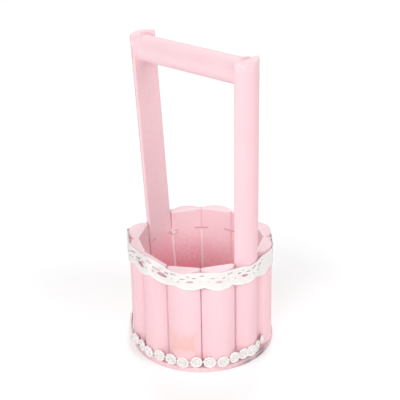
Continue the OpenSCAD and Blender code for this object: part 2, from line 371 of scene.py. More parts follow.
def makeCottonGroup():
    group, given, made = newGroup("cottonThreads", {
        "Cotton": (0.9, 0.9, 0.88, 1), "Shaded Cotton": (0.8, 0.8, 0.78, 1), "Deep": 0.0,
        "Threads": 1.6})
    place = given["Place"]
    lines = [addNode(group, "ShaderNodeTexWave", "Fac",
                     settings=dict(wave_type="BANDS", bands_direction=direction,
                                   wave_profile="SIN"),
                     Vector=place, Scale=given["Threads"], Distortion=1.2, Detail=2.0,
                     Detail_Scale=1.5) for direction in ("X", "Y")]
    weave = calc(group, "MAXIMUM", lines[0], lines[1])
    fuzz = noiseAt(group, place, 6, 3, 0.6)
    height = plus(group, times(group, weave, 0.8), fuzz, 0.5)
    tone = plus(group, times(group, weave, 0.35), noiseAt(group, place, 0.35, 2, 0.5), 0.35)
    # painted shade: the hollows of the cloth turn to the shaded cotton
    tone = plus(group, tone, calc(group, "SUBTRACT", 1.0, given["Deep"]), 0.5)
    color = blendColor(group, spreadOut(group, tone, 0.2, 0.85), given["Shaded Cotton"],
                       given["Cotton"])
    setInputs(made, Color=color, Roughness=plus(group, 0.82, fuzz, 0.12), Height=height)
    return group


cottonGroup = makeCottonGroup()


def makeCotton(name, cotton, shaded, threads, depth):
    material, tree, shader = newMaterial(name)
    useGroup(tree, shader, cottonGroup, 0.7, depth, Cotton=cotton, Shaded_Cotton=shaded,
             Place=addNode(tree, "ShaderNodeUVMap", settings=dict(uv_map="cloth")),
             Deep=readMask(tree, "deep"), Threads=threads)
    setInputs(shader, Specular_IOR_Level=0.25, Sheen_Weight=0.15, Sheen_Roughness=0.5)
    return material


laceCotton = makeCotton("laceCotton", srgb(254, 251, 249), srgb(246, 239, 237), 1.3, 0.12 * mm)
trimCotton = makeCotton("trimCotton", srgb(254, 251, 249), srgb(249, 238, 238), 1.7, 0.1 * mm)


filmValues = dict(
    tints=(srgb(253, 210, 178), srgb(254, 217, 190)),
    clearest=0.03,           # how much the film covers at its edges
    tintShare=0.11,          # and how much more in the tinted middle
)


def makeFilm(values):
    # a clear sticker with a faint peach print all over
    material, tree, shader = newMaterial("stickerFilm")
    coords = addNode(tree, "ShaderNodeTexCoord", "Object")
    haze = spreadOut(tree, noiseAt(tree, coords, 160, 3, 0.6), 0.35, 0.65)
    crease = addNode(tree, "ShaderNodeBump", Height=noiseAt(tree, coords, 300, 2, 0.5),
                     Strength=0.4, Distance=0.05 * mm)
    alpha = plus(tree, values["clearest"], readMask(tree, "tint"), values["tintShare"])
    setInputs(shader, Base_Color=blendColor(tree, haze, *values["tints"]), Alpha=alpha,
              Roughness=0.38, Normal=crease)
    return material


def makeSteel():
    material, tree, shader = newMaterial("nailSteel")
    coords = addNode(tree, "ShaderNodeTexCoord", "Object")
    worn = noiseAt(tree, coords, 900, 4, 0.6)
    color = blendColor(tree, spreadOut(tree, worn, 0.35, 0.7), srgb(176, 176, 180),
                       srgb(128, 122, 120))
    scratch = addNode(tree, "ShaderNodeBump", Height=worn, Strength=0.4, Distance=0.05 * mm)
    setInputs(shader, Base_Color=color, Roughness=plus(tree, 0.3, worn, 0.3), Metallic=1.0,
              Normal=scratch)
    return material


filmMaterial = makeFilm(filmValues)
steelMaterial = makeSteel()
report("materials made")


# the ring of sticks

ring = dict(
    places=12,
    faceWidth=24.5 * mm,
    jointGap=0.5 * mm,
    stockRadius=13 * mm,     # round the very crests, where lace and trim rest
    wrapGap=0.3 * mm,        # between the crests and what is wrapped round them
    crestRadius=15.5 * mm,   # the short staves' crests, planed a little flatter
    thickRadius=16 * mm,
    uprightRadius=14.5 * mm,
    sideBevel=12.0,          # degrees, on the short staves' narrow sides
    edgeEase=1.4 * mm,
    uprightEase=2.1 * mm,
    depth=9.7 * mm,
    uprightDepth=8.6 * mm,
    thickDepth=12.2 * mm,
    leftLean=3.9,
    rightLean=0.3,
    thickLean=1.6,
)
stepAngle = 2 * math.pi / ring["places"]
apothem = (ring["faceWidth"] + ring["jointGap"]) / 2 / math.tan(stepAngle / 2)
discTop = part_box("base_disc")[1].z
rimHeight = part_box("stave_01")[1].z

# each stick's node, its place round the ring, its thickness and its outward lean
sticks = {"upright_right": (0, ring["uprightDepth"], ring["rightLean"]),
          "upright_left": (6, ring["uprightDepth"], ring["leftLean"]),
          "stave_06": (7, ring["thickDepth"], ring["thickLean"])}
for number in range(1, 11):
    name = f"stave_{number:02d}"
    sticks.setdefault(name, (number if number < 6 else number + 1, ring["depth"], 0.0))
stickAt = {place: (depth, math.radians(lean)) for place, depth, lean in sticks.values()}


def isUpright(place):
    return place % (ring["places"] // 2) == 0


def sideSlope(place):
    # the short staves' sides are bevelled a little to meet their neighbours
    return 0.0 if isUpright(place) else math.radians(ring["sideBevel"])


def faceRadius(place, height):
    lean = stickAt[place % ring["places"]][1]
    return apothem + (height - rimHeight) * math.tan(lean)


stickFinish = dict(
    stockSegments=132,
    easeCuts=5,
    outerEase=0.7 * mm,      # rounding where a side meets the crest
    cornerShare=0.22,        # how deep a corner's middle cut goes, for its size
    softCorners={            # some are sanded rounder, by place and side
        (0, 1): 3.2 * mm,
        (1, -1): 4.5 * mm,
        (0, -1): 1.4 * mm,
        (6, 1): 2.6 * mm,
        (8, 1): 1.2 * mm,
        (9, -1): 2.4 * mm,
        (9, 1): 1.6 * mm,
        (10, -1): 3.0 * mm,
        (11, 1): 1.3 * mm,
    },
    endBevel=0.7 * mm,
    endBevelSegments=3,
    ringStep=6 * mm,
    wobble=0.10 * mm,        # how uneven the sanded faces are
    wobbleScale=42.0,
    overrun=20 * mm,         # spare length, sawn off at both ends
    endTilt=0.35 * mm,       # how far any sawn end is out of level
    sawnAskew={              # rise of the top's two corners, clockwise corner first
        "stave_07": (0.0, 0.8 * mm),
        "stave_08": (0.9 * mm, -1.5 * mm),
        "stave_09": (-1.5 * mm, 0.2 * mm),
    },
    edgeReach=1.5 * mm,      # width of the thin coat along the edges, which partly stands for a painted highlight
    calmEnds=4 * mm,         # the ends are level, and the wobble starts over this height
    faceFade=(0.3 * mm, 2.5 * mm),  # the painted light and painted shade of the flat faces end over this depth
    # share of painted light, as a paler coat, and of painted shade, as a deeper pink coat, on the
    # flat faces, by height above the disc
    thinCoat=((0, 0.0), (40, 0.15), (60, 0.5), (88, 0.8), (105, 0.4), (130, 0.0), (240, 0.0)),
    deepCoat=((0, 1.0), (25, 0.95), (42, 0.45), (60, 0.0), (240, 0.0)),
    shadingRise={5: 6 * mm, 6: 15 * mm},  # the painted shade reaches higher on one side
)


def alongHeight(table, height):
    # straight between the given heights, in millimetres
    height /= mm
    for (first, start), (second, end) in zip(table, table[1:]):
        if height <= second:
            return start + (end - start) * max(0.0, (height - first) / (second - first))
    return table[-1][1]


def stickSection(place, depth, values):
    # round stock, ripped to a flat face and two narrow sides, its inner corners eased
    bm = bmesh.new()
    radius = ring["crestRadius"] if depth < ring["thickDepth"] else ring["thickRadius"]
    ease = ring["edgeEase"]
    if isUpright(place):
        radius, ease = ring["uprightRadius"], ring["uprightEase"]
    bmesh.ops.create_circle(bm, cap_ends=True, radius=radius, segments=values["stockSegments"])
    bmesh.ops.translate(bm, verts=bm.verts, vec=(depth - radius, 0, 0))
    half = ring["faceWidth"] / 2
    slope = sideSlope(place)
    easeY = half - ease * (1 - math.sin(slope)) / math.cos(slope)
    cutAway(bm, (0, 0, 0), (-1, 0, 0))
    for side in (-1, 1):
        cutAway(bm, (0, side * half, 0), (-math.sin(slope), side * math.cos(slope), 0))
        for n in range(1, values["easeCuts"] + 1):
            angle = (math.pi / 2 - slope) * n / (values["easeCuts"] + 1)
            out = Vector((-math.cos(angle), side * math.sin(angle), 0))
            cutAway(bm, Vector((ease, side * easeY, 0)) + out * ease, out)
    # rounded where the sides meet the crest
    meet = depth - radius + math.sqrt(radius ** 2 - half ** 2)
    sideAngle = math.pi / 2 - slope
    crestAngle = math.asin(half / radius)
    for side in (-1, 1):
        size = values["softCorners"].get((place, side), values["outerEase"])
        corner = Vector((meet, side * (half + meet * math.tan(slope)), 0))
        for n in range(1, values["easeCuts"] + 1):
            angle = crestAngle + (sideAngle - crestAngle) * n / (values["easeCuts"] + 1)
            out = Vector((math.cos(angle), side * math.sin(angle), 0))
            bow = 1 - (2 * n / (values["easeCuts"] + 1) - 1) ** 2
            cutAway(bm, corner - out * size * values["cornerShare"] * bow, out)
    return bm


def makeStick(name, material, values):
    place, depth, leanAngle = sticks[name]
    lean = math.radians(leanAngle)
    low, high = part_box(name)
    bottom, top = low.z, high.z
    overrun = values["overrun"]
    bm = stickSection(place, depth, values)
    bmesh.ops.translate(bm, verts=bm.verts, vec=(0, 0, bottom - overrun))
    grown = bmesh.ops.extrude_face_region(bm, geom=bm.faces[:])
    raised = [v for v in grown["geom"] if isinstance(v, bmesh.types.BMVert)]
    bmesh.ops.translate(bm, verts=raised, vec=(0, 0, top - bottom + 2 * overrun))
    bmesh.ops.recalc_face_normals(bm, faces=bm.faces)
    # stand it in the ring, hinged at the rim, and saw both ends level
    stand = (Matrix.Rotation(stepAngle * place, 4, "Z")
             @ Matrix.Translation((apothem, 0, rimHeight))
             @ Matrix.Rotation(lean, 4, "Y")
             @ Matrix.Translation((0, 0, -rimHeight)))
    bmesh.ops.transform(bm, matrix=stand, verts=bm.verts)
    chance = random.Random(name)
    tilt = values["endTilt"] / ring["faceWidth"]
    firstRise, lastRise = values["sawnAskew"].get(name, (0, 0))
    along = polar((firstRise - lastRise) / ring["faceWidth"], stepAngle * place + math.pi / 2)
    topNormal = Vector((along.x + chance.uniform(-tilt, tilt),
                        along.y + chance.uniform(-tilt, tilt), 1)).normalized()
    middle = polar(faceRadius(place, top) + depth / 2, stepAngle * place)
    topPoint = Vector((*middle, top - values["endTilt"] + (firstRise + lastRise) / 2))
    bottomPoint = Vector((*middle, bottom))
    for point, out in ((topPoint, topNormal), (bottomPoint, Vector((0, 0, -1)))):
        cutAway(bm, point, out)
        bmesh.ops.holes_fill(bm, edges=[e for e in bm.edges if e.is_boundary], sides=0)
    bmesh.ops.recalc_face_normals(bm, faces=bm.faces)
    ends = [f for f in bm.faces if abs(f.normal.z) > 0.9]
    bmesh.ops.bevel(bm, geom=once(e for f in ends for e in f.edges), affect="EDGES",
                    offset=values["endBevel"], offset_type="OFFSET", profile=0.5, material=-1,
                    segments=values["endBevelSegments"], clamp_overlap=True)
    bm.normal_update()
    height = bottom + values["ringStep"]
    while height < top - values["ringStep"]:
        scoreAcross(bm, height)
        height += values["ringStep"]
    bm.normal_update()
    # uneven faces, and masks for the coat, its painted light and its painted shade
    undo = stand.inverted()
    offset = Vector((place * 3.1, place * 1.7, 0))
    edgeMask, sawnMask, paintedLightMask, paintedShadeMask = [], [], [], []
    half = ring["faceWidth"] / 2
    moves = []
    for v in bm.verts:
        local = undo @ v.co
        fromTop = (topPoint - v.co).dot(topNormal)
        fromEnds = min(fromTop, v.co.z - bottom)
        wave = noise.noise(Vector((v.co.x, v.co.y, v.co.z * 0.4)) * values["wobbleScale"] + offset)
        settled = min(1.0, max(0.0, fromEnds / values["calmEnds"]))
        moves.append(v.normal * wave * values["wobble"] * settled)
        cornerReach = math.hypot(max(0.0, local.x), half - abs(local.y))
        nearCorner = 1 - min(1.0, cornerReach / (values["edgeReach"] + ring["edgeEase"]))
        nearEnd = 1 - min(1.0, fromEnds / values["edgeReach"])
        edgeMask.append(max(nearCorner, nearEnd * (1 if abs(v.normal.z) < 0.98 else 0.3)))
        sawnMask.append(min(1.0, max(0.0, (abs(v.normal.z) - 0.75) / 0.2)))
        # painted light near the rim and painted shade lower down, on the flat inner faces
        onFace = 1 - easedStep(local.x, *values["faceFade"])
        paintedLightMask.append(onFace * alongHeight(values["thinCoat"], v.co.z - discTop))
        paintedShading = v.co.z - discTop - values["shadingRise"].get(place, 0)
        paintedShadeMask.append(onFace * alongHeight(values["deepCoat"], paintedShading))
    for v, move in zip(bm.verts, moves):
        v.co += move
    piece = makePiece(name + "_wood", bm, material, [name])
    storeMasks(piece, edge=edgeMask, sawn=sawnMask, thin=paintedLightMask, deep=paintedShadeMask,
               tone=chance.random())
    evenNormals(piece)


for name in sticks:
    makeStick(name, stickPaint, stickFinish)
report("sticks made")


# the bar, sawn to the flat faces of the two uprights

barValues = dict(
    diameter=20 * mm,
    leftHeight=229.6 * mm,
    rightHeight=236.1 * mm,
    segments=96,
    ringStep=5 * mm,
    wobble=0.12 * mm,
    wobbleScale=34.0,
    calmEnds=6 * mm,
    tone=0.6,
    thinCoat=0.35,
    leftPool=2.4 * mm,       # how far the pooled paint reaches
    rightPool=1.2 * mm,
    poolSunk=0.3 * mm,
    poolSteps=72,
    poolCuts=6,
)


def barEnds(values):
    left = Vector((-faceRadius(6, values["leftHeight"]), 0, values["leftHeight"]))
    right = Vector((faceRadius(0, values["rightHeight"]), 0, values["rightHeight"]))
    return left, right


def makeBar(values):
    left, right = barEnds(values)
    run = right - left
    spare = values["diameter"]
    bm = bmesh.new()
    radius = values["diameter"] / 2
    bmesh.ops.create_cone(bm, cap_ends=True, segments=values["segments"], radius1=radius,
                          radius2=radius, depth=run.length + 2 * spare)
    count = int(run.length / values["ringStep"])
    for n in range(count + 1):
        scoreAcross(bm, -run.length / 2 + n * run.length / count)
    turn = run.to_track_quat("Z", "Y").to_matrix().to_4x4()
    bmesh.ops.transform(bm, matrix=Matrix.Translation((left + right) / 2) @ turn, verts=bm.verts)
    for place, point, side in ((6, left, -1), (0, right, 1)):
        lean = stickAt[place][1]
        cutAway(bm, point, Vector((math.cos(lean) * side, 0, -math.sin(lean))))
        bmesh.ops.holes_fill(bm, edges=[e for e in bm.edges if e.is_boundary], sides=0)
    bmesh.ops.recalc_face_normals(bm, faces=bm.faces)
    bm.normal_update()
    axis = run.normalized()
    for v in bm.verts:
        along = (v.co - left).dot(axis)
        fromEnds = min(along, run.length - along)
        outward = (v.co - left) - axis * along
        wave = noise.noise(Vector((v.co.x * 0.4, v.co.y, v.co.z)) * values["wobbleScale"])
        settled = min(1, max(0, fromEnds / values["calmEnds"]))
        v.co += outward.normalized() * wave * values["wobble"] * settled
    piece = makePiece("handle_bar_wood", bm, barPaint, ["handle_bar"])
    storeMasks(piece, edge=0.0, sawn=0.0, tone=values["tone"], thin=values["thinCoat"])


makeBar(barValues)


def makeBarPaint(values):
    # paint pooled round both ends, hollow where it climbs from the upright to the bar
    left, right = barEnds(values)
    axis = (right - left).normalized()
    up = axis.cross(Vector((0, -1, 0)))
    sunk = values["poolSunk"]
    bm = bmesh.new()
    done = set()
    for place, foot, side, size in ((6, left, -1, values["leftPool"]),
                                    (0, right, 1, values["rightPool"])):
        corner = foot + up * values["diameter"] / 2
        spots = [corner - up * sunk + axis * side * sunk, corner + up * size + axis * side * sunk]
        for n in range(values["poolCuts"] + 1):
            turn = math.pi / 2 * n / values["poolCuts"]
            spots.append(corner + up * size * (1 - math.sin(turn))
                         - axis * side * size * (1 - math.cos(turn)))
        spots.append(corner - up * sunk - axis * side * size)
        section = [bm.verts.new(spot) for spot in spots]
        edges = [bm.edges.new(pair) for pair in zip(section, section[1:] + section[:1])]
        bmesh.ops.spin(bm, geom=section + edges, cent=foot, axis=axis, dvec=(0, 0, 0),
                       angle=2 * math.pi, steps=values["poolSteps"], use_merge=True)
        # slanted to lie against the upright's face
        lean = stickAt[place][1]
        face = Vector((math.cos(lean) * side, 0, -math.sin(lean)))
        for v in bm.verts:
            if v not in done:
                out = (v.co - foot) - axis * (v.co - foot).dot(axis)
                swell = noise.noise(out * values["wobbleScale"] * 3) * values["wobble"]
                v.co += out.normalized() * swell - axis * out.dot(face) / axis.dot(face)
        done.update(bm.verts)
    bmesh.ops.recalc_face_normals(bm, faces=bm.faces)
    makePiece("bar_end_paint", bm, barPaint, [], sharpAngle=60)


makeBarPaint(barValues)
report("bar made")


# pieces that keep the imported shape: a merged copy with softened edges

def softenedCopy(node, name, material, bevel):
    bm = bmesh.new()
    bm.from_mesh(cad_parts[node].data)
    bmesh.ops.remove_doubles(bm, verts=bm.verts, dist=0.002 * mm)
    bmesh.ops.dissolve_limit(bm, angle_limit=math.radians(1.0), verts=bm.verts, edges=bm.edges)
    piece = makePiece(name, bm, material, [node], sharpAngle=40)
    soften = piece.modifiers.new("soften", "BEVEL")
    soften.width = bevel
    soften.segments = 2
    soften.limit_method = "ANGLE"
    soften.angle_limit = math.radians(30)
    evenNormals(piece)
    return piece


disc = softenedCopy("base_disc", "base_disc_wood", discPaint, 0.25 * mm)
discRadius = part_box("base_disc")[1].x

discMarks = dict(
    grime=(                  # side in degrees, share of grey darkening on the edge
        (-150, 0.3), (-132, 0.5), (-115, 0.35), (-100, 0.3), (-80, 0.12), (-60, 0.1), (-38, 0.1),
        (-22, 0.25), (-12, 0.6), (-5, 1.1), (0, 0.75), (6, 1.15), (12, 1.1), (17, 0.5),
        (24, 0.22), (35, 0.12), (45, 0.1), (140, 0.1)),
    darkeningHeight=2.4 * mm,    # it fades above this, towards the top
    darkeningOnTop=0.6,
    patchy=0.5,
    patchScale=(4, 400),     # round the edge, and up it
    rimWidth=0.8 * mm,
    # the rim is lighter: thin paint, and partly a painted highlight
    wearAndHighlight=0.7,
    tone=0.3,
    ringStep=1.6,            # degrees between the cuts that carry the marks
)


def markDisc(piece, values):
    bm = bmesh.new()
    bm.from_mesh(piece.data)
    count = round(180 / values["ringStep"])
    for n in range(count):
        angle = math.pi * n / count
        rim = [f for f in bm.faces if abs(f.normal.z) < 0.9]
        geom = once(e for f in rim for e in f.edges) + once(v for f in rim for v in f.verts) + rim
        bmesh.ops.bisect_plane(bm, geom=geom, dist=1e-7, plane_co=(0, 0, 0),
                               plane_no=(math.cos(angle), math.sin(angle), 0))
    bm.to_mesh(piece.data)
    bm.free()
    edge, grime = [], []
    across, upwards = values["patchScale"]
    for v in piece.data.vertices:
        angle = math.atan2(v.co.y, v.co.x)
        onRim = math.hypot(v.co.x, v.co.y) > discRadius - values["rimWidth"]
        edge.append(values["wearAndHighlight"] if onRim else 0.0)
        # a grey darkening on the rim, more on some sides, fading towards the top
        low = 1 - (1 - values["darkeningOnTop"]) * easedStep(v.co.z, values["darkeningHeight"], discTop)
        patch = noise.noise(Vector((angle * across, 0.7, v.co.z * upwards)))
        darkShare = alongSide(values["grime"], math.degrees(angle)) * low
        grime.append(darkShare * (1 + values["patchy"] * patch) if onRim else 0.0)
    storeMasks(piece, edge=edge, grime=grime, sawn=0.0, tone=values["tone"])


markDisc(disc, discMarks)
staples = softenedCopy("staples", "staple_wires", staplePaint, 0.2 * mm)
# painted shade: the staples are greyed, more on some sides, so they read as dark sunk lines
stapleShading = ((60, 0.2), (100, 0.3), (135, 0.3), (152, 0.2), (165, 0.0), (180, 0.1))
storeMasks(staples, grime=[alongSide(stapleShading, sideOf(v.co)) for v in staples.data.vertices])
softenedCopy("base_nails", "base_nail_heads", steelMaterial, 0.15 * mm)
softenedCopy("handle_nails", "handle_nail_pins", steelMaterial, 0.1 * mm)
report("disc, staples and nails made")


# the taut line round the crests, for lace and trim

def crestCentre(place, height):
    depth = stickAt[place % ring["places"]][0]
    return polar(faceRadius(place, height) + depth - ring["stockRadius"], stepAngle * place)


def tangentAngle(first, second, height):
    way = crestCentre(second, height) - crestCentre(first, height)
    angle = math.atan2(way.y, way.x) - math.pi / 2
    goal = stepAngle * (first + second) / 2
    return goal + (angle - goal + 3 * math.pi) % (2 * math.pi) - math.pi


def touchedPlaces(first, last, height):
    places = []
    for place in range(first, last + 1):
        before = crestCentre(place, height) - crestCentre(place - 1, height)
        after = crestCentre(place + 1, height) - crestCentre(place, height)
        if before.x * after.y - before.y * after.x > 0:
            places.append(place)
    return places


class TautLine:
    # arcs on the crests and straight runs between them, walked by length
    def __init__(self, height, first, last, turn=0.0):
        self.reach = ring["stockRadius"] + ring["wrapGap"]
        self.legs = []
        self.length = 0.0
        places = touchedPlaces(first - 1, last + 1, height)
        for before, place, after in zip(places, places[1:], places[2:]):
            start = tangentAngle(before, place, height)
            end = tangentAngle(place, after, height) + (turn if place == last else 0)
            centre = crestCentre(place, height)
            self.addLeg("arc", self.reach * (end - start), (centre, start, end))
            if place < last or turn == 0:
                nextCentre = crestCentre(after, height)
                self.addLeg("run", (nextCentre - centre).length, (centre, nextCentre, end))

    def addLeg(self, kind, size, facts):
        self.legs.append((self.length, size, kind, facts))
        self.length += size

    def at(self, share):
        # the point and the outward direction at a share of the length
        walked = share * self.length
        for start, size, kind, facts in self.legs:
            if walked <= start + size + 1e-9:
                break
        part = min(1.0, max(0.0, (walked - start) / size))
        if kind == "arc":
            centre, fromAngle, toAngle = facts
            angle = fromAngle + (toAngle - fromAngle) * part
            return centre + polar(self.reach, angle), polar(1, angle)
        centre, nextCentre, angle = facts
        return centre.lerp(nextCentre, part) + polar(self.reach, angle), polar(1, angle)


# paint that filled the joints, as a bead along their inner edges

beadValues = dict(
    step=1 * mm,
    sides=10,
    usual=(0.95 * mm, 0.5 * mm, 2.0 * mm, 0.2 * mm),
    joints={                 # depth and lap below the staples, then above them, by first place
        3: (0.4 * mm, 0.7 * mm, 1.1 * mm, 0.4 * mm),
        4: (0.25 * mm, 0.8 * mm, 1.3 * mm, 0.3 * mm),
        5: (0.25 * mm, 0.65 * mm, 3.0 * mm, 0.1 * mm),
        6: (1.6 * mm, 0.25 * mm, 2.2 * mm, 0.2 * mm),
    },
    stapleDepth=16.4 * mm,
    paintedLightTops={4: -2.4 * mm, 5: 0.9 * mm},  # thick runs in a near-white coat, painted light coming through the gaps, and where they end from the staples
    sideways={4: -0.8 * mm, 5: 0.7 * mm},  # where they run off the joint towards the foot
    fade=0.8 * mm,           # the lower bead turns into the upper one over twice this height
    drop=(5, 1.8 * mm, 1.8 * mm),  # a drop hangs below a staple: how far in, its radius
    dropHang=1 * mm,
    uneven=0.14,
    wander=0.1 * mm,
    belowRim=0.8 * mm,
    darkShare=0.4,                # grey painted shade along the outer half
    paintedShading=0.25,             # share of painted shade, in the deeper pink coat, above the staples
    fillStep=4 * mm,
    fillBelowRim=2 * mm,
    usualFill=(2.0 * mm, 0.3 * mm, 0.2),  # filling nearer the outside: depth, lap and grey painted shade
    fills={
        0: (2.2 * mm, 0.6 * mm, 0.0),
        1: (4.6 * mm, 1.7 * mm, 0.0),
        6: (3.8 * mm, 0.9 * mm, 0.0),
        7: (4.6 * mm, 1.6 * mm, 0.0),
        8: (3.3 * mm, 0.75 * mm, 0.0),
        9: (2.5 * mm, 0.55 * mm, 0.4),
        10: (1.6 * mm, 0.2 * mm, 0.45),
        11: (1.9 * mm, 0.3 * mm, 0.45),
    },
)


def jointSide(place, height, side, inset):
    # a point on a stick's narrow side, behind its flat face
    across = ring["faceWidth"] / 2 + inset * math.tan(sideSlope(place))
    turn = Matrix.Rotation(stepAngle * place, 2)
    return turn @ Vector((faceRadius(place, height) + inset, side * across))


def jointMiddle(place, height, inset):
    # the middle of a joint and half its width
    one = jointSide(place, height, 1, inset)
    other = jointSide(place + 1, height, -1, inset)
    return (one + other) / 2, (one - other).length / 2


def addTube(bm, stands, radii, sides):
    # a closed tube through a row of circles, each with its stand and radius
    circles = [bmesh.ops.create_circle(bm, cap_ends=False, radius=radius, segments=sides,
                                       matrix=stand)["verts"]
               for stand, radius in zip(stands, radii)]
    rings = [once(e for v in verts for e in v.link_edges) for verts in circles]
    for first, second in zip(rings, rings[1:]):
        bmesh.ops.bridge_loops(bm, edges=first + second)
    bmesh.ops.holes_fill(bm, edges=[e for e in rings[0] + rings[-1] if e.is_boundary], sides=0)
    return circles


def makeBeads(name, places, material, values):
    bm = bmesh.new()
    greyShadeLayer = bm.verts.layers.float.new("grime")
    paintedShadeLayer = bm.verts.layers.float.new("deep")
    top = rimHeight - values["belowRim"]
    count = round((top - discTop) / values["step"])
    stapleHeight = rimHeight - values["stapleDepth"]
    for place in places:
        lowInset, lowLap, highInset, highLap = values["joints"].get(place, values["usual"])
        change = stapleHeight + values["paintedLightTops"].get(place, 0)
        darkShare = 0 if place in values["paintedLightTops"] else values["darkShare"]
        spots, radii, facts = [], [], []
        for n in range(count + 1):
            height = discTop + (top - discTop) * n / count
            stray = noise.noise(Vector((place * 5.3, height * 60, 0)))
            upper = easedStep(height, change - values["fade"], change + values["fade"])
            middle, reach = jointMiddle(place, height, lowInset + (highInset - lowInset) * upper)
            outward = middle.normalized()
            middle += outward * stray * values["wander"]
            aside = values["sideways"].get(place, 0) * (1 - upper) * (1 - height / stapleHeight)
            middle += outward.orthogonal() * aside
            spots.append(Vector((*middle, height)))
            radii.append((reach + lowLap + (highLap - lowLap) * upper)
                         * (1 + values["uneven"] * stray))
            facts.append((outward, upper))
        circles = addTube(bm, [Matrix.Translation(spot) for spot in spots], radii,
                          values["sides"])
        # painted shade: the outer half goes grey for the dark gap behind it, and above the staples
        # the deeper pink coat comes in
        for verts, spot, radius, (outward, upper) in zip(circles, spots, radii, facts):
            for v in verts:
                facing = (v.co - spot).xy.dot(outward) / radius
                v[greyShadeLayer] = darkShare * easedStep(facing, -0.35, 0.3)
                v[paintedShadeLayer] = values["paintedShading"] * upper
    dropPlace, reachIn, size = values["drop"]
    if dropPlace in places:
        middle = jointMiddle(dropPlace, stapleHeight, -reachIn)[0]
        stand = (Matrix.Translation((*middle, stapleHeight - values["dropHang"]))
                 @ Matrix.Diagonal((1, 1, 0.9, 1)))
        made = bmesh.ops.create_icosphere(bm, subdivisions=3, radius=size, matrix=stand)
        for v in made["verts"]:
            v.co.z -= 0.4 * mm * noise.noise(v.co * 400)
    bmesh.ops.recalc_face_normals(bm, faces=bm.faces)
    makePiece(name, bm, material, [])


def makeFilling(values):
    bm = bmesh.new()
    greyShadeLayer = bm.verts.layers.float.new("grime")
    top = rimHeight - values["fillBelowRim"]
    count = round((top - discTop) / values["fillStep"])
    for place in range(ring["places"]):
        inset, lap, darkShare = values["fills"].get(place, values["usualFill"])
        stands, radii = [], []
        for n in range(count + 1):
            height = discTop + (top - discTop) * n / count
            middle, reach = jointMiddle(place, height, inset)
            stray = noise.noise(Vector((place * 7.1, height * 50, 4)))
            middle += middle.normalized() * stray * values["wander"] * 2
            stands.append(Matrix.Translation((*middle, height)))
            radii.append(reach + lap)
        # grey painted shade in the grooves between the sticks, by joint
        for verts in addTube(bm, stands, radii, values["sides"]):
            for v in verts:
                v[greyShadeLayer] = darkShare
    bmesh.ops.recalc_face_normals(bm, faces=bm.faces)
    makePiece("joint_filling", bm, staplePaint, [])


makeFilling(beadValues)
# two joints get the near-white runs of painted light
paintedLightJoints = list(beadValues["paintedLightTops"])
plainJoints = [place for place in range(ring["places"]) if place not in paintedLightJoints]
makeBeads("joint_beads", plainJoints, staplePaint, beadValues)
makeBeads("painted_light_joint_beads", paintedLightJoints, paintedLightPaint, beadValues)
report("joint paint made")


# lace: a fine grid cut to the pattern, raised along its cords, then wrapped round

